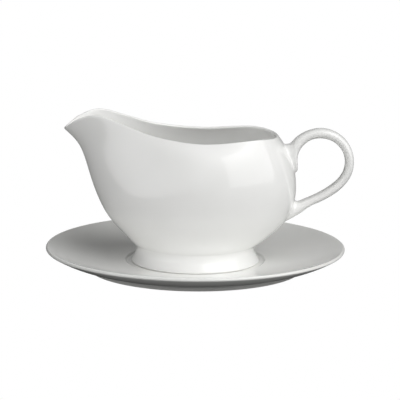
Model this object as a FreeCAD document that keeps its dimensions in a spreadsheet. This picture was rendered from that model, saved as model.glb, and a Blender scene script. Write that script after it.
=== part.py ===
"""Gravy boat on its saucer, in millimetres: four fired pieces of glazed porcelain.

The origin is the centre of the saucer's foot ring on the table, +Z is up, the spout points along -X and
the handle along +X. The boat is a bowl drawn out into a spout, with a flared foot luted under it and a
strap handle luted to its end. It stands loose in a round well in the middle of the saucer.
"""

import FreeCAD, Part
import math
import os

import Sketcher
from FreeCAD import Vector

COLUMNS = 32  # points round each line of the bowl and of the handle

SIZES = [
    # saucer, a round coupe plate
    ("rim_radius", 107.5, "outer radius of the saucer"),
    ("rim_height", 16.0, "top of the saucer's lip above the table"),
    ("lip_radius", 1.2, "rounding of the saucer's lip"),
    ("lip_lean", 20.0, "slope of the saucer at its lip, in degrees"),
    ("well_radius", 49.0, "radius of the well that the boat's foot stands in"),
    ("well_depth", 1.1, "depth of the well"),
    ("well_slope", 1.6, "run of the well's sloping side"),
    ("well_floor", 4.6, "height of the well's floor above the table"),
    ("plate_wall", 3.2, "thickness of the saucer"),
    ("dish_curve", 150.0, "radius of the saucer's dished top in section"),
    ("under_curve", 105.0, "radius of the saucer's underside in section"),
    ("ring_radius", 77.6, "outer radius of the saucer's foot ring at the table"),
    ("ring_land", 2.6, "width of the foot ring where it stands"),
    ("ring_draft", 1.6, "how much the foot ring widens towards its root"),
    ("ring_height", 3.2, "height of the foot ring on its outer side"),
    # foot of the boat
    ("foot_radius", 46.2, "outer radius of the foot"),
    ("foot_round", 1.2, "rounding of the foot's outer edge"),
    ("foot_land", 3.4, "width of the foot where it stands"),
    ("foot_flare", 60.0, "radius of the foot's hollow flare in section"),
    ("foot_wall", 4.6, "thickness of the foot at its neck"),
    ("foot_joint", 1.3, "how far the foot is let up into the bowl's wall"),
    # bowl of the boat
    ("bowl_wall", 3.4, "thickness of the bowl"),
    ("spout_start", 40.0, "height at which the spout starts to form"),
    ("spout_pinch", 0.31, "share by which the spout narrows the front of the mouth"),
    ("mouth_middle", 6.0, "where the mouth is widest, along X"),
    # handle, a strap that runs round a loop into a straight tail
    ("loop_x", 88.8, "centre of the loop along X"),
    ("loop_z", 72.7, "centre of the loop above the boat's foot"),
    ("loop_radius", 21.0, "radius of the loop's middle line"),
    ("loop_start", 116.0, "angle at which the loop starts, in degrees"),
    ("loop_end", -45.0, "angle at which the loop ends, in degrees"),
    ("strap_thin", 3.2, "half thickness of the strap at the back of the loop"),
    ("strap_thick", 3.55, "half thickness of the strap at the top of the loop"),
    ("strap_width", 6.0, "half width of the strap"),
    ("strap_square", 2.6, "squareness of the strap's section, 2 for an ellipse"),
]

# Lines round the bowl from its underside to its lip: height above the foot, reach towards the spout,
# reach towards the handle, half width, and the share of the lip's rise that the line follows.
BOWL_LINES = [
    ("base", 8.8, 31.0, 31.0, 31.0, 0.0),
    ("seat", 9.5, 37.0, 37.0, 37.0, 0.0),
    ("neck", 11.5, 41.7, 41.7, 41.7, 0.0),
    ("flare", 19.5, 50.5, 53.2, 47.6, 0.0),
    ("flank", 32.0, 61.8, 65.8, 51.6, 0.0),
    ("waist", 46.0, 69.7, 71.2, 53.2, 0.0),
    ("belly", 60.0, 75.0, 71.6, 52.8, 0.03),
    ("shoulder", 74.0, 79.5, 68.5, 50.3, 0.15),
    ("collar", 84.5, 85.3, 63.2, 46.2, 0.45),
    ("mouth", 90.6, 93.9, 58.7, 41.6, 1.0),
]

# Rise of the lip above its lowest point, along X from the spout to the handle's end.
LIP_KNOTS = [
    ("tip", -94.0, 3.9),
    ("beak", -84.0, 11.6),
    ("crest", -70.0, 16.0),
    ("slope", -52.0, 11.0),
    ("run", -30.0, 4.0),
    ("dip", 4.0, 0.0),
    ("back", 42.0, 2.0),
    ("end", 58.7, 0.4),
]

# Sections of the handle outside its loop: X and height of the finger side, the same of the outer side,
# and half width. The first and last lie inside the bowl's wall.
UPPER_ROOT = [
    ("upper_root", 67.8, 65.5, 61.0, 85.4, 7.4),
    ("tongue", 72.3, 65.9, 66.0, 85.8, 7.4),
    ("shoulder_bend", 72.6, 76.0, 70.0, 89.0, 7.0),
    ("upper_bend", 75.6, 83.6, 72.6, 91.4, 6.4),
]
LOWER_ROOT = [
    ("tail_start", 94.3, 54.3, 97.7, 48.8, 6.0),
    ("tail", 85.2, 49.0, 88.0, 43.5, 6.0),
    ("tail_end", 77.0, 45.3, 79.8, 39.2, 6.5),
    ("lower_bend", 72.8, 43.6, 72.0, 33.4, 7.6),
    ("lower_root", 68.9, 43.4, 60.0, 28.2, 9.0),
]


class Length:
    """A number together with the expression that gives it, so that sketches start right and stay bound."""

    def __init__(self, value, text):
        self.value = value
        self.text = text

    def __add__(self, other):
        return Length(self.value + plain(other), f"({self.text} + {written(other)})")

    def __sub__(self, other):
        return Length(self.value - plain(other), f"({self.text} - {written(other)})")

    def __mul__(self, factor):
        return Length(self.value * factor, f"({self.text} * {factor!r})")


def plain(number):
    return number.value if isinstance(number, Length) else float(number)


def written(number):
    return number.text if isinstance(number, Length) else repr(float(number))


def fill_sheet(doc):
    """Writes every driving dimension into the sheet: what it is, its value and its alias."""
    rows = list(SIZES)
    for name, height, front, back, side, share in BOWL_LINES:
        rows.append((f"{name}_height", height, f"height of the bowl's {name} line"))
        rows.append((f"{name}_front", front, f"reach of the {name} line towards the spout"))
        rows.append((f"{name}_back", back, f"reach of the {name} line towards the handle"))
        rows.append((f"{name}_side", side, f"half width of the {name} line"))
        rows.append((f"{name}_share", share, f"share of the lip's rise in the {name} line"))
    for name, along, rise in LIP_KNOTS:
        rows.append((f"lip_{name}_along", along, f"place of the lip's {name} along X"))
        rows.append((f"lip_{name}_rise", rise, f"rise of the lip at its {name}"))
    for name, inner_x, inner_z, outer_x, outer_z, wide in UPPER_ROOT + LOWER_ROOT:
        rows.append((f"{name}_inner_x", inner_x, f"finger side of the handle's {name}, along X"))
        rows.append((f"{name}_inner_z", inner_z, f"finger side of the handle's {name}, height"))
        rows.append((f"{name}_outer_x", outer_x, f"outer side of the handle's {name}, along X"))
        rows.append((f"{name}_outer_z", outer_z, f"outer side of the handle's {name}, height"))
        rows.append((f"{name}_wide", wide, f"half width of the handle's {name}"))
    sheet = doc.addObject("Spreadsheet::Sheet", "Sizes")
    for row, (alias, value, note) in enumerate(rows, start=1):
        sheet.set(f"A{row}", note)
        sheet.set(f"B{row}", repr(value))
        sheet.setAlias(f"B{row}", alias)
    doc.recompute()
    return sheet


def lengths(sheet, *aliases):
    return [Length(float(getattr(sheet, alias)), f"{sheet.Name}.{alias}") for alias in aliases]


def arc_between(start, end, radius, left):
    """The shorter arc from start to end, its centre to the left or to the right of the way it runs."""
    chord = end - start
    across = Vector(-chord.y, chord.x, 0).normalize()
    offset = math.sqrt(radius**2 - (chord.Length / 2) ** 2)
    centre = (start + end) * 0.5 + across * (offset if left else -offset)
    first = math.atan2(start.y - centre.y, start.x - centre.x)
    last = math.atan2(end.y - centre.y, end.x - centre.x)
    circle = Part.Circle(centre, Vector(0, 0, 1), radius)
    return Part.ArcOfCircle(circle, first, last) if left else Part.ArcOfCircle(circle, last, first)


def closed_profile(body, corners):
    """A closed sketch in the body's XZ plane. A corner is (x, z), or (x, z, radius, left) where an arc
    leads on to the next corner. Every place and every radius is bound to the sheet."""
    sketch = body.newObject("Sketcher::SketchObject", f"{body.Name}_profile")
    upright = next(p for p in body.Origin.OriginFeatures if p.Role == "XZ_Plane")
    sketch.AttachmentSupport = (upright, [""])
    sketch.MapMode = "FlatFace"
    sketch.Visibility = False
    places = [Vector(plain(corner[0]), plain(corner[1]), 0) for corner in corners]
    ends = []
    for edge, corner in enumerate(corners):
        start, end = places[edge], places[(edge + 1) % len(places)]
        if len(corner) == 2:
            sketch.addGeometry(Part.LineSegment(start, end), False)
        else:
            sketch.addGeometry(arc_between(start, end, plain(corner[2]), corner[3]), False)
        turned_round = len(corner) == 4 and not corner[3]
        ends.append((2, 1) if turned_round else (1, 2))
    for edge, corner in enumerate(corners):
        following = (edge + 1) % len(corners)
        sketch.addConstraint(
            Sketcher.Constraint("Coincident", edge, ends[edge][1], following, ends[following][0])
        )
        bind(sketch, ("DistanceX", -1, 1, edge, ends[edge][0]), corner[0])
        bind(sketch, ("DistanceY", -1, 1, edge, ends[edge][0]), corner[1])
        if len(corner) == 4:
            bind(sketch, ("Radius", edge), corner[2])
    return sketch


def bind(sketch, what, length):
    index = sketch.addConstraint(Sketcher.Constraint(*what, plain(length)))
    if isinstance(length, Length):
        sketch.setExpression(f"Constraints[{index}]", length.text)


def turned_body(doc, name, corners):
    """A body made by turning a closed profile about Z."""
    body = doc.addObject("PartDesign::Body", name)
    sketch = closed_profile(body, corners)
    turn = body.newObject("PartDesign::Revolution", f"{name}_turn")
    turn.Profile = sketch
    turn.ReferenceAxis = (sketch, ["V_Axis"])
    turn.Angle = 360.0
    doc.recompute()
    return body


def make_saucer(doc, sheet):
    """Coupe plate: a level middle with a sunk well, a dished rim with a rounded lip, and a foot ring."""
    rim, top, lip = lengths(sheet, "rim_radius", "rim_height", "lip_radius")
    well, sink, slope, floor = lengths(sheet, "well_radius", "well_depth", "well_slope", "well_floor")
    wall, dish, under = lengths(sheet, "plate_wall", "dish_curve", "under_curve")
    ring, land, draft, ring_top = lengths(sheet, "ring_radius", "ring_land", "ring_draft", "ring_height")
    lean = math.radians(sheet.lip_lean)
    edge = 0.5  # the foot ring's worn edges
    lip_lap = math.radians(12)  # the underside meets the lip a little past its full half round
    lip_end = lean + lip_lap
    corners = [
        (0.0, floor),
        (well, floor),
        (well + slope, floor + sink, dish, True),
        (rim - lip * (1 + math.sin(lean)), top - lip * (1 - math.cos(lean)), lip, False),
        (rim - lip * (1 - math.sin(lip_end)), top - lip * (1 + math.cos(lip_end)), under, False),
        (ring + draft, ring_top),
        (ring, edge),
        (ring - edge, 0.0),
        (ring - land, 0.0),
        (ring - land - draft, floor - wall),
        (0.0, floor - wall),
    ]
    saucer = turned_body(doc, "saucer", corners)
    saucer.Label = "saucer"
    return saucer


def smooth_height(knots, x):
    """Height at x of a smooth line through the knots: cubic pieces that share their slopes."""
    slopes = []
    for i in range(len(knots)):
        low, high = knots[max(i - 1, 0)], knots[min(i + 1, len(knots) - 1)]
        slopes.append((high[1] - low[1]) / (high[0] - low[0]))
    x = min(max(x, knots[0][0]), knots[-1][0])
    i = max(k for k in range(len(knots) - 1) if knots[k][0] <= x)
    (x0, z0), (x1, z1) = knots[i], knots[i + 1]
    span = x1 - x0
    t = (x - x0) / span
    ease = t * t * (3 - 2 * t)
    return z0 + (z1 - z0) * ease + span * t * (1 - t) * (slopes[i] * (1 - t) - slopes[i + 1] * t)


def bowl_line(sheet, name, knots):
    """One line round the bowl: an oval, drawn out and pinched at the front as the spout forms."""
    height, front, back, side, share = (
        float(getattr(sheet, f"{name}_{part}")) for part in ("height", "front", "back", "side", "share")
    )
    growth = max(0.0, (height - sheet.spout_start) / (sheet.mouth_height - sheet.spout_start))
    middle = sheet.mouth_middle * growth
    points = []
    for column in range(COLUMNS):
        turn = 2 * math.pi * column / COLUMNS
        ahead = (1 - math.cos(turn)) / 2
        reach = back - middle + (front - back + 2 * middle) * ahead
        x = middle + reach * math.cos(turn)
        pinch = sheet.spout_pinch * growth * math.sin(math.pi * max(0.0, -math.cos(turn)) / 2) ** 2
        rise = smooth_height(knots, x * sheet.mouth_front / front) if share else 0.0
        points.append(Vector(x, side * math.sin(turn) * (1 - pinch), height + share * rise))
    return points


def surface_through(lines):
    """One smooth surface through closed lines: closed round them and open across them. It comes with the
    lines' places round and across it."""
    around = [i / COLUMNS for i in range(COLUMNS + 1)]
    across = [0.0]
    for low, high in zip(lines, lines[1:]):
        across.append(across[-1] + sum((b - a).Length for a, b in zip(low, high)) / COLUMNS)
    rings = []
    for line in lines:
        ring = Part.BSplineCurve()
        ring.interpolate(Points=line, PeriodicFlag=True, Parameters=around)
        rings.append(ring)
    net = []
    for poles in zip(*(ring.getPoles() for ring in rings)):
        rib = Part.BSplineCurve()
        rib.interpolate(Points=list(poles), Parameters=across)
        net.append(rib.getPoles())
    surface = Part.BSplineSurface()
    surface.buildFromPolesMultsKnots(
        net,
        rings[0].getMultiplicities(),
        rib.getMultiplicities(),
        rings[0].getKnots(),
        rib.getKnots(),
        True,
        False,
        3,
        3,
    )
    return surface, around, across


def solid_through(lines):
    """The solid inside the surface through the lines, closed by a flat face at each end."""
    surface, _, across = surface_through(lines)
    faces = [surface.toShape()]
    for end in (across[0], across[-1]):
        faces.append(Part.Face(Part.Wire([surface.vIso(end).toShape()])))
    shell = Part.makeShell(faces)
    shell.sewShape()
    solid = Part.makeSolid(shell.Shells[0])
    if solid.Volume < 0:
        solid.reverse()
    return solid


def outward(surface, u, v, point):
    """The unit normal of the bowl's outside that points away from its axis."""
    normal = surface.normal(u, v)
    return normal if normal.dot(Vector(point.x, point.y, -point.Length / 4)) > 0 else normal * -1


def make_bowl(doc, sheet):
    """Bowl and spout: the outside, a rounded lip and an inside at an even distance from the outside."""
    knots = [
        (float(getattr(sheet, f"lip_{name}_along")), float(getattr(sheet, f"lip_{name}_rise")))
        for name, _, _ in LIP_KNOTS
    ]
    outside = [bowl_line(sheet, line[0], knots) for line in BOWL_LINES]
    skin, around, across = surface_through(outside)
    wall = float(sheet.bowl_wall)
    inside = []
    for v, line in zip(across, outside):
        inside.append([p - outward(skin, u, v, p) * wall for u, p in zip(around, line)])
    lip = []
    for place in (0.25, 0.5, 0.75):
        turn = math.pi * place
        row = []
        for u, out, back in zip(around, outside[-1], inside[-1]):
            below = skin.value(u, across[-1] - wall)
            upward = (out - below).normalize()
            half = (out - back) * 0.5
            row.append((out + back) * 0.5 + half * math.cos(turn) + upward * math.sin(turn) * wall / 2)
        lip.append(row)
    floor_height = float(sheet.base_height) + wall
    inside[0] = [Vector(p.x, p.y, floor_height) for p in outside[0]]
    bowl = doc.addObject("Part::Feature", "boat_body")
    bowl.Label = "boat_body"
    bowl.Shape = solid_through(outside + lip + inside[::-1])
    bowl.setExpression("Placement.Base.z", "Sizes.well_floor")
    doc.recompute()
    return bowl


def make_foot(doc, sheet, bowl):
    """Flared ring foot, hollow underneath, let up into the bowl's wall and cut to it."""
    radius, round_edge, land, flare = lengths(
        sheet, "foot_radius", "foot_round", "foot_land", "foot_flare"
    )
    neck, neck_height, wall, joint = lengths(
        sheet, "neck_front", "neck_height", "foot_wall", "foot_joint"
    )
    lean = 0.35  # the flare's lean where it runs into the bowl
    corners = [
        (radius - round_edge - land, 0.0),
        (radius - round_edge, 0.0, round_edge, True),
        (radius, round_edge, flare, False),
        (neck, neck_height),
        (neck - joint * lean, neck_height + joint),
        (neck - wall, neck_height),
    ]
    blank = turned_body(doc, "foot_blank", corners)
    blank.setExpression("Placement.Base.z", "Sizes.well_floor")
    foot = doc.addObject("Part::Cut", "boat_foot")
    foot.Label = "boat_foot"
    foot.Base = blank
    foot.Tool = bowl
    doc.recompute()
    return foot


def strap_section(inner, outer, wide, square):
    """A squared oval between the finger side and the outer side."""
    middle, reach = (inner + outer) * 0.5, (outer - inner) * 0.5
    points = []
    for column in range(COLUMNS):
        turn = 2 * math.pi * column / COLUMNS
        c, s = math.cos(turn), math.sin(turn)
        spread = (abs(c) ** square + abs(s) ** square) ** (-1 / square)
        points.append(middle + reach * (c * spread) + Vector(0, wide * s * spread, 0))
    return points


def root_sections(sheet, lines):
    sections = []
    for name, *_ in lines:
        inner_x, inner_z, outer_x, outer_z, wide = (
            float(getattr(sheet, f"{name}_{part}"))
            for part in ("inner_x", "inner_z", "outer_x", "outer_z", "wide")
        )
        inner, outer = Vector(inner_x, 0, inner_z), Vector(outer_x, 0, outer_z)
        sections.append(strap_section(inner, outer, wide, sheet.strap_square))
    return sections


def loop_sections(sheet):
    """Sections round the loop, thickest at its top."""
    steps = 8
    centre = Vector(sheet.loop_x, 0, sheet.loop_z)
    sections = []
    for step in range(steps):
        angle = math.radians(sheet.loop_start + (sheet.loop_end - sheet.loop_start) * step / (steps - 1))
        ray = Vector(math.cos(angle), 0, math.sin(angle))
        bulge = max(0.0, math.sin(angle)) ** 2
        half = sheet.strap_thin + (sheet.strap_thick - sheet.strap_thin) * bulge
        inner, outer = centre + ray * (sheet.loop_radius - half), centre + ray * (sheet.loop_radius + half)
        sections.append(strap_section(inner, outer, float(sheet.strap_width), sheet.strap_square))
    return sections


def make_handle(doc, sheet, bowl):
    """Strap handle: a tongue laid down the bowl's end, a loop, a tail and a flared lower root."""
    sections = root_sections(sheet, UPPER_ROOT) + loop_sections(sheet) + root_sections(sheet, LOWER_ROOT)
    wall = bowl.Shape.copy()
    wall.Placement = FreeCAD.Placement()
    handle = doc.addObject("Part::Feature", "boat_handle")
    handle.Label = "boat_handle"
    handle.Shape = solid_through(sections).cut(wall).Solids[0]
    handle.setExpression("Placement.Base.z", "Sizes.well_floor")
    doc.recompute()
    return handle


def check(doc, pieces):
    for thing in doc.Objects:
        if "Invalid" in thing.State or "Error" in thing.State:
            raise RuntimeError(f"{thing.Name} failed: {thing.State}")
    for piece in pieces:
        shape = piece.Shape
        if shape.isNull() or not shape.isValid() or len(shape.Solids) != 1:
            raise RuntimeError(f"{piece.Label} is not one valid solid")
        box = shape.optimalBoundingBox()
        print(f"{piece.Label}: {shape.Volume / 1000:.1f} cm3, X {box.XMin:.1f} to {box.XMax:.1f},", end=" ")
        print(f"Y {box.YMin:.1f} to {box.YMax:.1f}, Z {box.ZMin:.1f} to {box.ZMax:.1f}")


def main():
    doc = FreeCAD.newDocument("GravyBoat")
    sheet = fill_sheet(doc)
    saucer = make_saucer(doc, sheet)
    bowl = make_bowl(doc, sheet)
    foot = make_foot(doc, sheet, bowl)
    handle = make_handle(doc, sheet, bowl)
    doc.recompute()
    pieces = [saucer, bowl, foot, handle]
    check(doc, pieces)
    os.makedirs("parts", exist_ok=True)
    for piece in pieces:
        piece.Shape.exportStep(f"parts/{piece.Label}.step")


main()
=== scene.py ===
import math
import bpy
import numpy as np
from mathutils import Matrix, Vector
from mathutils.bvhtree import BVHTree


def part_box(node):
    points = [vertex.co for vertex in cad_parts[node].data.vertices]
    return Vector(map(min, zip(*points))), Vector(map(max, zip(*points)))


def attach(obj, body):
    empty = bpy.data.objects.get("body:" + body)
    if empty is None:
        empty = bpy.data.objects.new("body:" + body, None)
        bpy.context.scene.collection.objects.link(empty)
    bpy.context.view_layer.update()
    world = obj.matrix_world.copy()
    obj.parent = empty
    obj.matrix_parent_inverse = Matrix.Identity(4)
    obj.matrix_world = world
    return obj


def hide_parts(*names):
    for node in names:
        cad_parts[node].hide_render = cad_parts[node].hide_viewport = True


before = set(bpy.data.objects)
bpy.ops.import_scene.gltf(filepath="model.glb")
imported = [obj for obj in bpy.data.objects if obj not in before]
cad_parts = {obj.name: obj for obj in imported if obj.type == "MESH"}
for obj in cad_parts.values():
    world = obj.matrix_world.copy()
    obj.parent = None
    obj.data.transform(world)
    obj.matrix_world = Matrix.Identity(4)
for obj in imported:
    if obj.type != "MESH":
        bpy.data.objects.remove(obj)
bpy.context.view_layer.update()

mm = 0.001
_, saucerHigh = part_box("saucer")
footLow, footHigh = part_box("boat_foot")
boatFloor = footLow.z        # where the boat's foot stands in the saucer's well
print("frame loaded, the boat stands at", round(boatFloor / mm, 2), "mm")


def newPiece(name, points, faces, finish):
    mesh = bpy.data.meshes.new(name)
    mesh.from_pydata([tuple(p) for p in points], [], faces)
    mesh.update()
    piece = bpy.data.objects.new(name, mesh)
    bpy.context.scene.collection.objects.link(piece)
    mesh.materials.append(finish)
    turnOutwards(mesh)
    mesh.shade_smooth()
    return piece


def turnOutwards(mesh):
    # faces of a closed mesh point outwards when its signed volume is positive
    points = np.array([v.co for v in mesh.vertices])
    mesh.calc_loop_triangles()
    corners = points[np.array([t.vertices for t in mesh.loop_triangles])]
    volume = np.einsum("ij,ij->i", corners[:, 0], np.cross(corners[:, 1], corners[:, 2])).sum() / 6
    if volume < 0:
        mesh.flip_normals()


def wovenFaces(rowCount, columns, ring=False):
    # quads between rows of points that close round the columns; ring also joins the last row to the first
    faces = []
    for row in range(rowCount if ring else rowCount - 1):
        above = (row + 1) % rowCount
        for column in range(columns):
            beside = (column + 1) % columns
            faces.append((
                row * columns + column, row * columns + beside,
                above * columns + beside, above * columns + column,
            ))
    return faces


def capFaces(centre, row, columns):
    # triangles from a centre point to one closed row of points
    start = row * columns
    return [(centre, start + column, start + (column + 1) % columns) for column in range(columns)]


def closedSkin(name, rows, finish, poles=None):
    # rows of points, closed round; poles are the two centre points, and without them the rows join in a ring
    rows = np.asarray(rows)
    count, columns = rows.shape[:2]
    points = list(rows.reshape(-1, 3))
    faces = wovenFaces(count, columns, ring=poles is None)
    if poles is not None:
        points += list(poles)
        faces += [tuple(reversed(f)) for f in capFaces(count * columns, 0, columns)]
        faces += capFaces(count * columns + 1, count - 1, columns)
    return newPiece(name, points, faces, finish)


def smoothRows(rows, counts):
    # a natural cubic through every column of the rows, with counts[i] steps between row i and the next
    rows = np.asarray(rows, float)
    chords = np.linalg.norm(np.diff(rows, axis=0), axis=2).mean(axis=1)
    knots = np.concatenate([[0.0], np.cumsum(chords)])
    last = len(knots) - 1
    system = np.eye(last + 1)
    bends = np.zeros_like(rows)
    for i in range(1, last):
        system[i, i - 1] = chords[i - 1]
        system[i, i] = 2 * (chords[i - 1] + chords[i])
        system[i, i + 1] = chords[i]
        bends[i] = 6 * ((rows[i + 1] - rows[i]) / chords[i] - (rows[i] - rows[i - 1]) / chords[i - 1])
    second = np.linalg.solve(system, bends.reshape(last + 1, -1)).reshape(rows.shape)
    out = []
    for i, count in enumerate(counts):
        for step in range(count):
            b = step / count
            a = 1 - b
            curve = ((a**3 - a) * second[i] + (b**3 - b) * second[i + 1]) * chords[i] ** 2 / 6
            out.append(a * rows[i] + b * rows[i + 1] + curve)
    out.append(rows[last])
    return np.array(out)


def rowNormals(rows):
    # unit normals of a grid of points, by differences along and across it
    across = np.gradient(rows, axis=0)
    around = np.roll(rows, -1, axis=1) - np.roll(rows, 1, axis=1)
    normals = np.cross(around, across)
    return normals / np.linalg.norm(normals, axis=2, keepdims=True)


def smoothStep(low, high, value):
    t = np.clip((value - low) / (high - low), 0, 1)
    return t * t * (3 - 2 * t)


glazeLook = {
    "Drift Scale": 26.0,     # soft clouds in the glaze, per metre
    "Wave Scale": 55.0,      # the slow swell left by dipping, per metre
    "Pit Scale": 700.0,      # fine orange peel, per metre
    "Swell": 0.12,           # share of the swell in the height
    "Peel": 0.012,           # share of the orange peel in the height
}
bareLand = 0.12 * mm         # the glaze is wiped off up to this height above the standing land
glazeEdge = 0.05 * mm        # half the height over which the glaze runs out there


def calculator(tree):
    # gives a function that adds one math node to the tree; it takes numbers and sockets alike
    def calculate(operation, *values):
        node = tree.nodes.new("ShaderNodeMath")
        node.operation = operation
        for socket, value in zip(node.inputs, values):
            if isinstance(value, (int, float)):
                socket.default_value = value
            else:
                tree.links.new(value, socket)
        return node.outputs[0]

    return calculate


def glazeGroup():
    # colour drift, roughness and height of a fired glaze, from the piece's own coordinates
    group = bpy.data.node_groups.new("firedGlaze", "ShaderNodeTree")
    for name in glazeLook:
        group.interface.new_socket(name, in_out="INPUT", socket_type="NodeSocketFloat")
    for name in ("Drift", "Gloss", "Height"):
        group.interface.new_socket(name, in_out="OUTPUT", socket_type="NodeSocketFloat")
    nodes, links = group.nodes, group.links
    given = nodes.new("NodeGroupInput")
    result = nodes.new("NodeGroupOutput")
    where = nodes.new("ShaderNodeTexCoord")
    calculate = calculator(group)

    def noise(scaleName, detail, roughness):
        n = nodes.new("ShaderNodeTexNoise")
        n.inputs["Detail"].default_value = detail
        n.inputs["Roughness"].default_value = roughness
        links.new(where.outputs["Object"], n.inputs["Vector"])
        links.new(given.outputs[scaleName], n.inputs["Scale"])
        return n.outputs["Fac"]

    def remap(value, low, high, toLow, toHigh):
        n = nodes.new("ShaderNodeMapRange")
        n.inputs["From Min"].default_value = low
        n.inputs["From Max"].default_value = high
        n.inputs["To Min"].default_value = toLow
        n.inputs["To Max"].default_value = toHigh
        links.new(value, n.inputs["Value"])
        return n.outputs["Result"]

    drift = noise("Drift Scale", 3.0, 0.55)
    wave = noise("Wave Scale", 1.0, 0.4)
    pits = noise("Pit Scale", 2.0, 0.5)
    links.new(remap(drift, 0.3, 0.7, 0.0, 1.0), result.inputs["Drift"])
    links.new(remap(pits, 0.35, 0.65, 0.05, 0.08), result.inputs["Gloss"])
    swell = calculate("MULTIPLY", wave, given.outputs["Swell"])
    links.new(calculate("MULTIPLY_ADD", pits, given.outputs["Peel"], swell), result.inputs["Height"])
    return group


firedGlaze = glazeGroup()


def porcelain(name, light, deep, bareBelow):
    # glazed porcelain; below bareBelow, where the piece stands, the clay is left bare
    finish = bpy.data.materials.new(name)
    finish.use_nodes = True
    nodes, links = finish.node_tree.nodes, finish.node_tree.links
    shader = nodes["Principled BSDF"]
    glaze = nodes.new("ShaderNodeGroup")
    glaze.node_tree = firedGlaze
    for key, value in glazeLook.items():
        glaze.inputs[key].default_value = value
    tone = nodes.new("ShaderNodeMix")
    tone.data_type = "RGBA"
    tone.inputs["A"].default_value = (*light, 1)
    tone.inputs["B"].default_value = (*deep, 1)
    links.new(glaze.outputs["Drift"], tone.inputs["Factor"])

    where = nodes.new("ShaderNodeTexCoord")
    place = nodes.new("ShaderNodeSeparateXYZ")
    links.new(where.outputs["Object"], place.inputs["Vector"])
    bare = nodes.new("ShaderNodeMapRange")      # 1 on the bare clay, 0 on the glaze
    bare.interpolation_type = "SMOOTHSTEP"
    bare.inputs["From Min"].default_value = bareBelow + glazeEdge
    bare.inputs["From Max"].default_value = bareBelow - glazeEdge
    links.new(place.outputs["Z"], bare.inputs["Value"])
    clay = nodes.new("ShaderNodeMix")
    clay.data_type = "RGBA"
    clay.inputs["B"].default_value = (0.72, 0.68, 0.60, 1)
    links.new(tone.outputs["Result"], clay.inputs["A"])
    links.new(bare.outputs["Result"], clay.inputs["Factor"])
    links.new(clay.outputs["Result"], shader.inputs["Base Color"])
    rough = nodes.new("ShaderNodeMix")
    links.new(bare.outputs["Result"], rough.inputs["Factor"])
    links.new(glaze.outputs["Gloss"], rough.inputs["A"])
    rough.inputs["B"].default_value = 0.75
    links.new(rough.outputs["Result"], shader.inputs["Roughness"])
    bump = nodes.new("ShaderNodeBump")
    bump.inputs["Distance"].default_value = 0.6 * mm
    bump.inputs["Strength"].default_value = 0.35
    links.new(glaze.outputs["Height"], bump.inputs["Height"])
    links.new(bump.outputs["Normal"], shader.inputs["Normal"])
    shader.inputs["IOR"].default_value = 1.5
    return finish


boatGlaze = porcelain("boatPorcelain", (0.91, 0.908, 0.895), (0.89, 0.892, 0.875), boatFloor + bareLand)
saucerGlaze = porcelain("saucerPorcelain", (0.86, 0.86, 0.84), (0.84, 0.845, 0.82), bareLand)
print("glaze mixed")

saucer = {
    "rim": saucerHigh.x,
    "height": saucerHigh.z,
    "lip": 1.2 * mm,
    "lean": 20.0,            # slope of the plate at its lip, degrees
    "lipAbove": (0.35, 0.25),        # corner over the lip: in from the rim and above it, in lip radii
    "lipBelow": (0.22, 1.5),         # corner under the lip: out from the rim and below its top, likewise
    "dishShare": 0.98,       # how much of the room for it the rounding of the dish takes up
    "well": 49.0 * mm,
    "wellDepth": 1.1 * mm,
    "wellRun": 1.6 * mm,
    "wellRound": 1.5 * mm,
    "shelfRound": 1.2 * mm,
    "wall": 3.2 * mm,
    "keel": (0.52, 0.36),    # corner of the underside: share of rim plus ring, share of the height between
    "keelRound": 90 * mm,
    "ring": 77.6 * mm,       # foot ring, outside, at the table
    "ringLand": 2.6 * mm,
    "ringDraft": 1.6 * mm,
    "ringHeight": 3.2 * mm,
    "ringTopRound": 2.0 * mm,
    "ringRound": 0.6 * mm,
    "recessRound": 1.2 * mm,
    "stepsAround": 360,
    "arcSteps": 14,
}


def saucerCorners(s):
    # radius, height and rounding of every corner of the plate's section, from the middle of its top
    # round the lip to the middle of its underside
    slope = math.radians(s["lean"])
    floor = boatFloor
    shelf = floor + s["wellDepth"]
    lipCentre = (s["rim"] - s["lip"], s["height"] - s["lip"])
    tangent = (lipCentre[0] - s["lip"] * math.sin(slope), lipCentre[1] + s["lip"] * math.cos(slope))
    bend = tangent[0] - (tangent[1] - shelf) / math.tan(slope)      # where the level and the sloping top meet
    dish = (bend - s["well"] - s["wellRun"]) * s["dishShare"] / math.tan(slope / 2)
    under = s["ring"] + s["ringDraft"]
    innerRing = s["ring"] - s["ringLand"]
    keelHeight = s["ringHeight"] + (s["height"] - s["ringHeight"]) * s["keel"][1]
    aboveIn, aboveUp = s["lipAbove"]
    belowOut, belowDown = s["lipBelow"]
    return [
        (0.0, floor, 0.0),
        (s["well"], floor, s["wellRound"]),
        (s["well"] + s["wellRun"], shelf, s["shelfRound"]),
        (bend, shelf, dish),
        (s["rim"] - aboveIn * s["lip"], s["height"] + aboveUp * s["lip"], s["lip"]),
        (s["rim"] + belowOut * s["lip"], s["height"] - belowDown * s["lip"], s["lip"]),
        ((s["rim"] + under) * s["keel"][0], keelHeight, s["keelRound"]),
        (under, s["ringHeight"], s["ringTopRound"]),
        (s["ring"], 0.0, s["ringRound"]),
        (innerRing, 0.0, s["ringRound"]),
        (innerRing - s["ringDraft"], floor - s["wall"], s["recessRound"]),
        (0.0, floor - s["wall"], 0.0),
    ]


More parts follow.
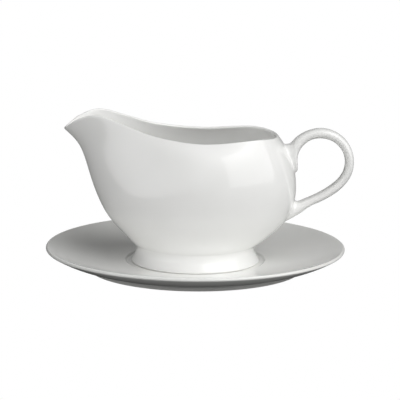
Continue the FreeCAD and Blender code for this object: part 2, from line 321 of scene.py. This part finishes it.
def wheelTree():
    # Geometry Nodes: rounds the corners of a section and turns it about Z, as on a potter's wheel
    tree = bpy.data.node_groups.new("throwOnWheel", "GeometryNodeTree")
    for name, kind in (("Section", "Geometry"), ("Steps Around", "Int"), ("Arc Steps", "Int")):
        tree.interface.new_socket(name, in_out="INPUT", socket_type="NodeSocket" + kind)
    tree.interface.new_socket("Ware", in_out="OUTPUT", socket_type="NodeSocketGeometry")
    nodes, links = tree.nodes, tree.links
    given = nodes.new("NodeGroupInput")
    result = nodes.new("NodeGroupOutput")
    calculate = calculator(tree)

    # the section with its corners rounded
    outline = nodes.new("GeometryNodeMeshToCurve")
    links.new(given.outputs["Section"], outline.inputs["Mesh"])
    rounding = nodes.new("GeometryNodeInputNamedAttribute")
    rounding.data_type = "FLOAT"
    rounding.inputs["Name"].default_value = "rounding"
    fillet = nodes.new("GeometryNodeFilletCurve")
    fillet.mode = "POLY"
    links.new(outline.outputs["Curve"], fillet.inputs["Curve"])
    links.new(rounding.outputs["Attribute"], fillet.inputs["Radius"])
    links.new(given.outputs["Arc Steps"], fillet.inputs["Count"])
    fillet.inputs["Limit Radius"].default_value = True
    section = nodes.new("GeometryNodeCurveToMesh")
    links.new(fillet.outputs["Curve"], section.inputs["Curve"])

    # a sheet with one row of points for each point of the section, and one column for each step round
    size = nodes.new("GeometryNodeAttributeDomainSize")
    links.new(section.outputs["Mesh"], size.inputs["Geometry"])
    lastRow = calculate("SUBTRACT", size.outputs["Point Count"], 1)
    sheet = nodes.new("GeometryNodeMeshGrid")
    links.new(calculate("ADD", given.outputs["Steps Around"], 1), sheet.inputs["Vertices X"])
    links.new(size.outputs["Point Count"], sheet.inputs["Vertices Y"])
    links.new(given.outputs["Steps Around"], sheet.inputs["Size X"])
    links.new(lastRow, sheet.inputs["Size Y"])

    # every point of the sheet looks up its row in the section and its column in the turn
    place = nodes.new("GeometryNodeInputPosition")
    apart = nodes.new("ShaderNodeSeparateXYZ")
    links.new(place.outputs[0], apart.inputs[0])
    row = calculate("ROUND", calculate("ADD", apart.outputs["Y"], calculate("MULTIPLY", lastRow, 0.5)))
    turns = calculate("ADD", calculate("DIVIDE", apart.outputs["X"], given.outputs["Steps Around"]), 0.5)
    angle = calculate("MULTIPLY", turns, 2 * math.pi)
    sample = nodes.new("GeometryNodeSampleIndex")
    sample.data_type = "FLOAT_VECTOR"
    links.new(section.outputs["Mesh"], sample.inputs["Geometry"])
    links.new(place.outputs[0], sample.inputs["Value"])
    links.new(row, sample.inputs["Index"])
    profile = nodes.new("ShaderNodeSeparateXYZ")
    links.new(sample.outputs["Value"], profile.inputs[0])
    joined = nodes.new("ShaderNodeCombineXYZ")
    links.new(calculate("MULTIPLY", profile.outputs["X"], calculate("COSINE", angle)), joined.inputs["X"])
    links.new(calculate("MULTIPLY", profile.outputs["X"], calculate("SINE", angle)), joined.inputs["Y"])
    links.new(profile.outputs["Z"], joined.inputs["Z"])
    bent = nodes.new("GeometryNodeSetPosition")
    links.new(sheet.outputs["Mesh"], bent.inputs["Geometry"])
    links.new(joined.outputs[0], bent.inputs["Position"])
    merged = nodes.new("GeometryNodeMergeByDistance")
    merged.inputs["Distance"].default_value = 0.002 * mm     # closes the seam and the two middles
    links.new(bent.outputs["Geometry"], merged.inputs["Geometry"])
    links.new(merged.outputs["Geometry"], result.inputs["Ware"])
    return tree


def onWheel(name, corners, settings, finish):
    # a section mesh, thrown by the tree and turned into a plain mesh
    mesh = bpy.data.meshes.new(name + "Section")
    edges = [(i, i + 1) for i in range(len(corners) - 1)]
    mesh.from_pydata([(radius, 0, height) for radius, height, _ in corners], edges, [])
    rounding = mesh.attributes.new("rounding", "FLOAT", "POINT")
    rounding.data.foreach_set("value", [c[2] for c in corners])
    blank = bpy.data.objects.new(name + "Blank", mesh)
    bpy.context.scene.collection.objects.link(blank)
    wheel = blank.modifiers.new("wheel", "NODES")
    tree = wheelTree()
    wheel.node_group = tree
    values = {"Steps Around": settings["stepsAround"], "Arc Steps": settings["arcSteps"]}
    for item in tree.interface.items_tree:
        if item.item_type == "SOCKET" and item.in_out == "INPUT" and item.name in values:
            wheel[item.identifier] = values[item.name]
    seen = blank.evaluated_get(bpy.context.evaluated_depsgraph_get())
    ware = bpy.data.meshes.new_from_object(seen)
    ware.name = name
    ware.materials.clear()       # the tree leaves an empty slot
    ware.materials.append(finish)
    bpy.data.objects.remove(blank)
    piece = bpy.data.objects.new(name, ware)
    bpy.context.scene.collection.objects.link(piece)
    turnOutwards(ware)
    ware.shade_smooth()
    return piece


saucerPlate = onWheel("saucerPlate", saucerCorners(saucer), saucer, saucerGlaze)
print("saucer thrown:", len(saucerPlate.data.polygons), "faces")

bowl = {
    "columns": 288,
    "wall": 3.4 * mm,
    "rimWall": 2.0 * mm,     # the wall thins towards the lip
    "thinFrom": 26 * mm,     # how far below the lip it starts to thin
    "floorBlend": 1.6 * mm,  # how softly the floor runs into the wall
    "floorRings": 8,         # rings of faces across each flat middle
    "spoutStart": 40.0,      # mm above the foot's land, where the spout starts to form
    "spoutPinch": 0.31,      # share of the width taken off towards the tip of the spout
    "mouthMiddle": 6.0,      # mm from the axis to the widest place of the mouth, towards the handle
    # all in mm: height above the foot's land, reach to the spout, reach to the handle, half width;
    # then the share of the lip's rise
    "lines": {
        "base": (8.8, 31.0, 31.0, 31.0, 0.0),
        "seat": (9.5, 37.0, 37.0, 37.0, 0.0),
        "neck": (11.5, 41.7, 41.7, 41.7, 0.0),
        "flare": (19.5, 50.5, 53.2, 45.6, 0.0),
        "flank": (32.0, 61.8, 65.8, 50.0, 0.0),
        "waist": (46.0, 69.7, 71.2, 52.8, 0.0),
        "belly": (60.0, 75.0, 71.6, 53.2, 0.03),
        "shoulder": (74.0, 79.5, 68.5, 50.6, 0.15),
        "collar": (84.5, 85.3, 63.2, 45.8, 0.45),
        "mouth": (90.6, 93.9, 58.7, 40.4, 1.0),
    },
    # rise of the lip above the mouth line at places along X, in mm
    "lipRise": [
        (-94.0, 4.5), (-84.0, 12.2), (-70.0, 16.2), (-52.0, 11.3),
        (-30.0, 4.4), (4.0, 0.4), (42.0, 2.3), (58.7, 1.0),
    ],
    "rowsPerLine": 9,
    "lipRows": 12,
}


def lipHeight(x):
    # smooth height of the lip along X, in cubic pieces that share their slopes
    knots = np.array(bowl["lipRise"])
    xs, rises = knots[:, 0], knots[:, 1]
    ahead = np.minimum(np.arange(len(xs)) + 1, len(xs) - 1)
    back = np.maximum(np.arange(len(xs)) - 1, 0)
    slopes = (rises[ahead] - rises[back]) / (xs[ahead] - xs[back])
    x = np.clip(x, xs[0], xs[-1])
    i = np.clip(np.searchsorted(xs, x, side="right") - 1, 0, len(xs) - 2)
    span = xs[i + 1] - xs[i]
    t = (x - xs[i]) / span
    ease = t * t * (3 - 2 * t)
    sway = span * t * (1 - t) * (slopes[i] * (1 - t) - slopes[i + 1] * t)
    return rises[i] + (rises[i + 1] - rises[i]) * ease + sway


def bowlLine(name):
    # one line round the bowl, drawn out and pinched at the front as the spout forms, in metres
    height, front, back, side, share = bowl["lines"][name]
    mouthHeight, mouthFront = bowl["lines"]["mouth"][:2]
    growth = max(0.0, (height - bowl["spoutStart"]) / (mouthHeight - bowl["spoutStart"]))
    middle = bowl["mouthMiddle"] * growth
    turn = np.linspace(0, 2 * math.pi, bowl["columns"], endpoint=False)
    reach = back - middle + (front - back + 2 * middle) * (1 - np.cos(turn)) / 2
    x = middle + reach * np.cos(turn)
    pinch = bowl["spoutPinch"] * growth * np.sin(math.pi * np.maximum(0, -np.cos(turn)) / 2) ** 2
    y = side * np.sin(turn) * (1 - pinch)
    z = height + share * lipHeight(x * mouthFront / front)
    return np.stack([x, y, z], axis=1) * mm + np.array([0, 0, boatFloor])


bowlHeart = np.array([0, 0, boatFloor + 50 * mm])        # a point inside the bowl, to tell outwards from


def bowlSkins():
    # outside, lip and inside of the bowl as rows of points
    lines = [bowlLine(name) for name in bowl["lines"]]
    outside = smoothRows(lines, [bowl["rowsPerLine"]] * (len(lines) - 1))
    normals = rowNormals(outside)
    facing = np.einsum("ijk,ijk->ij", normals, outside - bowlHeart)[len(outside) // 2].mean()
    normals = normals * np.sign(facing)
    down = outside[-1, :, 2] - outside[:, :, 2]
    wall = bowl["rimWall"] + (bowl["wall"] - bowl["rimWall"]) * smoothStep(0, bowl["thinFrom"], down)
    inside = outside - normals * wall[:, :, None]
    floorHeight = boatFloor + bowl["lines"]["base"][0] * mm + bowl["wall"]
    above = inside[:, :, 2] - floorHeight
    inside[:, :, 2] = floorHeight + (above + np.sqrt(above**2 + bowl["floorBlend"] ** 2)) / 2
    upward = outside[-1] - outside[-2]
    upward /= np.linalg.norm(upward, axis=1, keepdims=True)
    centre = (outside[-1] + inside[-1]) / 2
    half = (outside[-1] - inside[-1]) / 2
    lip = []
    for step in range(1, bowl["lipRows"]):
        turn = math.pi * step / bowl["lipRows"]
        lip.append(centre + half * math.cos(turn) + upward * math.sin(turn) * bowl["rimWall"] / 2)
    return outside, np.array(lip), inside


def shrinkingRows(row, centre, count):
    # rows from near the centre out to the row, which fill a flat middle
    return [centre + (row - centre) * (step / count) for step in range(1, count)]


outside, lip, inside = bowlSkins()
underCentre = np.array([0, 0, outside[0, 0, 2]])
floorCentre = np.array([0, 0, inside[0, 0, 2]])
bowlRows = shrinkingRows(outside[0], underCentre, bowl["floorRings"]) + list(outside) + list(lip)
bowlRows += list(inside[::-1]) + shrinkingRows(inside[0], floorCentre, bowl["floorRings"])[::-1]
boatBowl = closedSkin("boatBowl", bowlRows, boatGlaze, poles=(underCentre, floorCentre))
print("bowl cast:", len(boatBowl.data.polygons), "faces")

slip = {
    "coveSteps": 8,
    "bridge": (0.34, 0.67),  # rows between the last full row and the start of the cove
    "skirt": 0.7 * mm,       # how far the joint runs on beyond the cove, just under the glaze
    "skirtDepth": 0.05 * mm,
    "rootDepth": 0.9 * mm,   # how deep the skirt is then sunk into the bowl's wall
}
outsideFaces = wovenFaces(len(outside), bowl["columns"])
outsideTree = BVHTree.FromPolygons([Vector(p) for p in outside.reshape(-1, 3)], outsideFaces)


def onBowl(point):
    # the nearest point on the bowl's outside, the outward normal there, and the height above it
    place, normal, _, _ = outsideTree.find_nearest(Vector(point))
    if normal.dot(place - Vector(bowlHeart)) < 0:
        normal = -normal
    return np.array(place), np.array(normal), (Vector(point) - place).dot(normal)


def lutedEnd(rows, size):
    # rows run from clear of the bowl into its wall; they end in a cove of slip that runs out on the bowl
    rows = np.asarray(rows)
    columns = rows.shape[1]
    meets, starts, fullRows = [], [], len(rows)
    for column in range(columns):
        line = rows[:, column]
        heights = [onBowl(p)[2] for p in line]
        crossing = next(i for i in range(1, len(line)) if heights[i] <= 0)
        t = heights[crossing - 1] / (heights[crossing - 1] - heights[crossing])
        meets.append(line[crossing - 1] + (line[crossing] - line[crossing - 1]) * t)
        back, i, here = size, crossing - 1, meets[-1]
        while i > 0 and np.linalg.norm(here - line[i]) < back:
            back -= np.linalg.norm(here - line[i])
            here = line[i]
            i -= 1
        starts.append(here + (line[i] - here) * back / max(np.linalg.norm(line[i] - here), 1e-9))
        fullRows = min(fullRows, i + 1)
    meets, starts = np.array(meets), np.array(starts)
    centre = meets.mean(axis=0)
    ends, beyond, sunk = [], [], []
    for column in range(columns):
        _, normal, _ = onBowl(meets[column])
        along = meets[(column + 1) % columns] - meets[column - 1]
        aside = np.cross(along, normal)
        aside /= np.linalg.norm(aside)
        if aside.dot(meets[column] - centre) < 0:
            aside = -aside
        place, normal, _ = onBowl(meets[column] + aside * size)
        ends.append(place)
        place, normal, _ = onBowl(meets[column] + aside * (size + slip["skirt"]))
        beyond.append(place - normal * slip["skirtDepth"])
        sunk.append(place - normal * slip["rootDepth"])
    ends = np.array(ends)
    bridge = [rows[fullRows - 1] + (starts - rows[fullRows - 1]) * share for share in slip["bridge"]]
    cove = []
    for step in range(slip["coveSteps"] + 1):
        t = step / slip["coveSteps"]
        cove.append((1 - t) ** 2 * starts + 2 * t * (1 - t) * meets + t * t * ends)
    return list(rows[:fullRows]) + bridge + cove + [np.array(beyond), np.array(sunk)]


foot = {
    "columns": 288,
    "radius": footHigh.x,
    "neck": 41.1 * mm,
    "height": 11.5 * mm,
    "land": 3.4 * mm,
    "edge": 1.2 * mm,
    "wall": 4.6 * mm,
    "hollow": 0.45 * mm,     # how far the flare is drawn in between its neck and its edge
    "overlap": 1.5 * mm,     # how far the flare runs on up into the bowl
    "innerEdge": 0.5 * mm,   # rounding between the land and the hollow inside
    "cove": 5.0 * mm,
    "innerCove": 1.6 * mm,
    "flareSteps": 21,
    "edgeSteps": 7,
    "landSteps": 4,
    "innerEdgeSteps": 5,
    "insideSteps": 12,
    "waistRow": 24,          # a row low on the flare, clear of both joints
}


def footRows(f):
    # the outside from the neck down to the standing edge, then across the land and up the inside
    turn = np.linspace(0, 2 * math.pi, f["columns"], endpoint=False)
    ring = np.stack([np.cos(turn), np.sin(turn), np.zeros_like(turn)], axis=1)
    section = []
    top = f["height"] + f["overlap"]
    for step in range(f["flareSteps"] + 1):
        z = top + (f["edge"] - top) * (step / f["flareSteps"])
        s = (z - f["edge"]) / (f["height"] - f["edge"])
        r = f["radius"] + (f["neck"] - f["radius"]) * s - f["hollow"] * 4 * s * (1 - s)
        section.append((r, z))
    for step in range(1, f["edgeSteps"] + 1):
        a = math.pi / 2 * step / f["edgeSteps"]
        section.append((f["radius"] - f["edge"] * (1 - math.cos(a)), f["edge"] * (1 - math.sin(a))))
    inner = f["radius"] - f["edge"] - f["land"]
    for step in range(1, f["landSteps"]):
        section.append((f["radius"] - f["edge"] - f["land"] * step / f["landSteps"], 0.0))
    curl = f["innerEdge"]
    section.append((inner + curl, 0.0))
    for step in range(1, f["innerEdgeSteps"] + 1):
        a = math.pi / 2 * step / f["innerEdgeSteps"]
        section.append((inner + curl * (1 - math.sin(a)), curl * (1 - math.cos(a))))
    for step in range(1, f["insideSteps"] + 1):
        t = step / f["insideSteps"]
        section.append((inner + (f["neck"] - f["wall"] - inner) * t, curl + (f["height"] - curl) * t))
    return np.array([ring * r + np.array([0, 0, boatFloor + z]) for r, z in section])


def makeFoot(f):
    rows = footRows(f)
    waist = f["waistRow"]
    outer = lutedEnd(rows[:waist][::-1], f["cove"])
    inner = lutedEnd(rows[waist - 1:], f["innerCove"])
    return closedSkin("boatFoot", outer[::-1] + inner[1:], boatGlaze)


boatFoot = makeFoot(foot)
print("foot luted on:", len(boatFoot.data.polygons), "faces")

handle = {
    "columns": 64,
    "squareness": 2.4,       # 2 is an ellipse, more is squarer
    "rowsPerSection": 14,
    # the loop, in mm and degrees; its strap thickens from thin to thick at the top
    "loopCentre": (88.8, 72.7),
    "loopRadius": 21.0,
    "loopStart": 116.0,
    "loopEnd": -45.0,
    "loopSections": 8,
    "thin": 3.2,
    "thick": 3.55,
    "halfWidth": 6.0,
    # finger side x and height, outer side x and height, half width, all in mm above the foot
    "upperRoot": [
        (67.8, 65.5, 61.0, 85.4, 7.4),
        (72.3, 65.9, 66.0, 85.8, 7.4),
        (72.6, 76.0, 70.0, 89.0, 7.0),
        (75.6, 83.6, 72.6, 91.4, 6.4),
    ],
    "lowerRoot": [
        (94.3, 54.3, 97.7, 48.8, 6.0),
        (85.2, 49.0, 88.0, 43.5, 6.0),
        (77.0, 45.3, 79.8, 39.2, 6.5),
        (72.8, 43.6, 72.0, 33.4, 7.6),
        (68.9, 43.4, 60.0, 28.2, 9.0),
    ],
    "upperCove": 1.6 * mm,
    "lowerCove": 3.6 * mm,
}


def strapSection(innerX, innerZ, outerX, outerZ, wide):
    # a rounded section of the strap between its finger side and its outer side
    turn = np.linspace(0, 2 * math.pi, handle["columns"], endpoint=False)
    c, s = np.cos(turn), np.sin(turn)
    n = handle["squareness"]
    spread = (np.abs(c) ** n + np.abs(s) ** n) ** (-1 / n)
    inner, outer = np.array([innerX, 0, innerZ]), np.array([outerX, 0, outerZ])
    thickness = (outer - inner) / 2 * (c * spread)[:, None]
    width = np.array([0, wide, 0]) * (s * spread)[:, None]
    return ((inner + outer) / 2 + thickness + width) * mm + np.array([0, 0, boatFloor])


def handleRows(h):
    sections = [strapSection(*s) for s in h["upperRoot"]]
    centre = np.array(h["loopCentre"])
    for degrees in np.linspace(h["loopStart"], h["loopEnd"], h["loopSections"]):
        angle = math.radians(degrees)
        ray = np.array([math.cos(angle), math.sin(angle)])
        half = h["thin"] + (h["thick"] - h["thin"]) * max(0.0, math.sin(angle)) ** 2
        finger = centre + ray * (h["loopRadius"] - half)
        outer = centre + ray * (h["loopRadius"] + half)
        sections.append(strapSection(*finger, *outer, h["halfWidth"]))
    sections += [strapSection(*s) for s in h["lowerRoot"]]
    return smoothRows(sections, [h["rowsPerSection"]] * (len(sections) - 1))


def makeHandle(h):
    rows = handleRows(h)
    middle = len(rows) // 2
    upper = lutedEnd(rows[:middle][::-1], h["upperCove"])
    lower = lutedEnd(rows[middle:], h["lowerCove"])
    whole = upper[::-1] + lower
    poles = (whole[0].mean(axis=0), whole[-1].mean(axis=0))
    return closedSkin("boatHandle", whole, boatGlaze, poles=poles)


boatHandle = makeHandle(handle)
print("handle luted on:", len(boatHandle.data.polygons), "faces")

# what each piece rides on and stands for
for piece, body, node, slot in (
    (saucerPlate, "saucer", "saucer", "porcelain_saucer"),
    (boatBowl, "boat", "boat_body", "porcelain_boat"),
    (boatFoot, "boat", "boat_foot", "porcelain_boat"),
    (boatHandle, "boat", "boat_handle", "porcelain_boat"),
):
    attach(piece, body)
    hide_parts(node)

studio = {
    # the camera: metres, degrees and millimetres of lens
    "distance": 1.45,
    "elevation": 11.047,
    "roll": 0.49,
    "lens": 181.575,
    "target": (3.1 * mm, 0.0, 48.88 * mm),
    "lightsAim": (0.0, 0.0, 60 * mm),
    "floorHalf": 3.0,        # half the side of the floor, metres
    # name, azimuth and elevation in degrees, distance, width and height in metres, radiance
    "softboxes": [("windowLight", 56, 23, 1.3, 1.6, 1.5, 1.65)],
    # azimuth and elevation in degrees, sharpness, strength of each soft glow of the room
    "glows": [
        (-80, 10, 30, 1.4),
        (-50, 10, 30, 1.9),
        (-15, 12, 30, 0.75),
        (30, 42, 30, 1.75),
        (45, 66, 30, 0.5),
        (62, 44, 30, 0.5),
        (82, 60, 120, 5.0),
        (180, 10, 30, 0.32),
    ],
}


def placeCamera(s):
    lens = bpy.data.cameras.new("studioCamera")
    lens.lens = s["lens"]
    lens.sensor_width = 36.0
    lens.clip_end = 20.0
    camera = bpy.data.objects.new("studioCamera", lens)
    bpy.context.scene.collection.objects.link(camera)
    tilt = math.radians(s["elevation"])
    target = Vector(s["target"])
    camera.location = target + Vector((0, -math.cos(tilt), math.sin(tilt))) * s["distance"]
    aim = (target - camera.location).to_track_quat("-Z", "Y").to_matrix()
    camera.rotation_euler = (aim @ Matrix.Rotation(math.radians(s["roll"]), 3, "Z")).to_euler()
    bpy.context.scene.camera = camera


def towards(azimuth, elevation):
    # a direction as seen from the bowl; azimuth counts from the camera's side, positive to the right
    a, e = math.radians(azimuth), math.radians(elevation)
    return Vector((math.sin(a) * math.cos(e), -math.cos(a) * math.cos(e), math.sin(e)))


def softbox(name, azimuth, elevation, distance, width, height, radiance):
    # a rectangular light that faces the bowl
    data = bpy.data.lights.new(name, "AREA")
    data.shape = "RECTANGLE"
    data.size, data.size_y = width, height
    data.energy = radiance * math.pi * width * height
    light = bpy.data.objects.new(name, data)
    bpy.context.scene.collection.objects.link(light)
    aim = Vector(studio["lightsAim"])
    light.location = aim + towards(azimuth, elevation) * distance
    light.rotation_euler = (aim - light.location).to_track_quat("-Z", "Y").to_euler()


def paleFloor(half):
    # grey to the pieces, plain white to the camera
    mesh = bpy.data.meshes.new("paleFloor")
    corners = [(-half, -half, 0), (half, -half, 0), (half, half, 0), (-half, half, 0)]
    mesh.from_pydata(corners, [], [(0, 1, 2, 3)])
    floor = bpy.data.objects.new("paleFloor", mesh)
    bpy.context.scene.collection.objects.link(floor)
    finish = bpy.data.materials.new("paleFloor")
    finish.use_nodes = True
    nodes, links = finish.node_tree.nodes, finish.node_tree.links
    shader = nodes["Principled BSDF"]
    shader.inputs["Base Color"].default_value = (0.17, 0.17, 0.17, 1)
    shader.inputs["Roughness"].default_value = 0.9
    glow = nodes.new("ShaderNodeEmission")
    path = nodes.new("ShaderNodeLightPath")
    mix = nodes.new("ShaderNodeMixShader")
    links.new(path.outputs["Is Camera Ray"], mix.inputs[0])
    links.new(shader.outputs[0], mix.inputs[1])
    links.new(glow.outputs[0], mix.inputs[2])
    links.new(mix.outputs[0], nodes["Material Output"].inputs["Surface"])
    mesh.materials.append(finish)


def surroundings(glows):
    # a white backdrop to the camera; everything else is lit by a dark room with soft glows in it
    world = bpy.data.worlds.new("studioWorld")
    bpy.context.scene.world = world
    world.use_nodes = True
    nodes, links = world.node_tree.nodes, world.node_tree.links
    calculate = calculator(world.node_tree)
    where = nodes.new("ShaderNodeTexCoord")
    unit = nodes.new("ShaderNodeVectorMath")
    unit.operation = "NORMALIZE"
    links.new(where.outputs["Generated"], unit.inputs[0])
    total = 0.0
    for azimuth, elevation, sharpness, strength in glows:
        facing = nodes.new("ShaderNodeVectorMath")
        facing.operation = "DOT_PRODUCT"
        links.new(unit.outputs[0], facing.inputs[0])
        facing.inputs[1].default_value = towards(azimuth, elevation)
        turned = calculate("ADD", calculate("MULTIPLY", facing.outputs["Value"], 0.5), 0.5)
        glow = calculate("MULTIPLY", calculate("POWER", turned, sharpness), strength)
        total = calculate("ADD", glow, total)
    lit, seen = nodes["Background"], nodes.new("ShaderNodeBackground")
    links.new(total, lit.inputs["Color"])
    seen.inputs["Color"].default_value = (1, 1, 1, 1)
    path = nodes.new("ShaderNodeLightPath")
    mix = nodes.new("ShaderNodeMixShader")
    links.new(path.outputs["Is Camera Ray"], mix.inputs[0])
    links.new(lit.outputs[0], mix.inputs[1])
    links.new(seen.outputs[0], mix.inputs[2])
    links.new(mix.outputs[0], nodes["World Output"].inputs["Surface"])


placeCamera(studio)
for light in studio["softboxes"]:
    softbox(*light)
paleFloor(studio["floorHalf"])
surroundings(studio["glows"])
bpy.context.scene.view_settings.view_transform = "Standard"
print("studio lit")
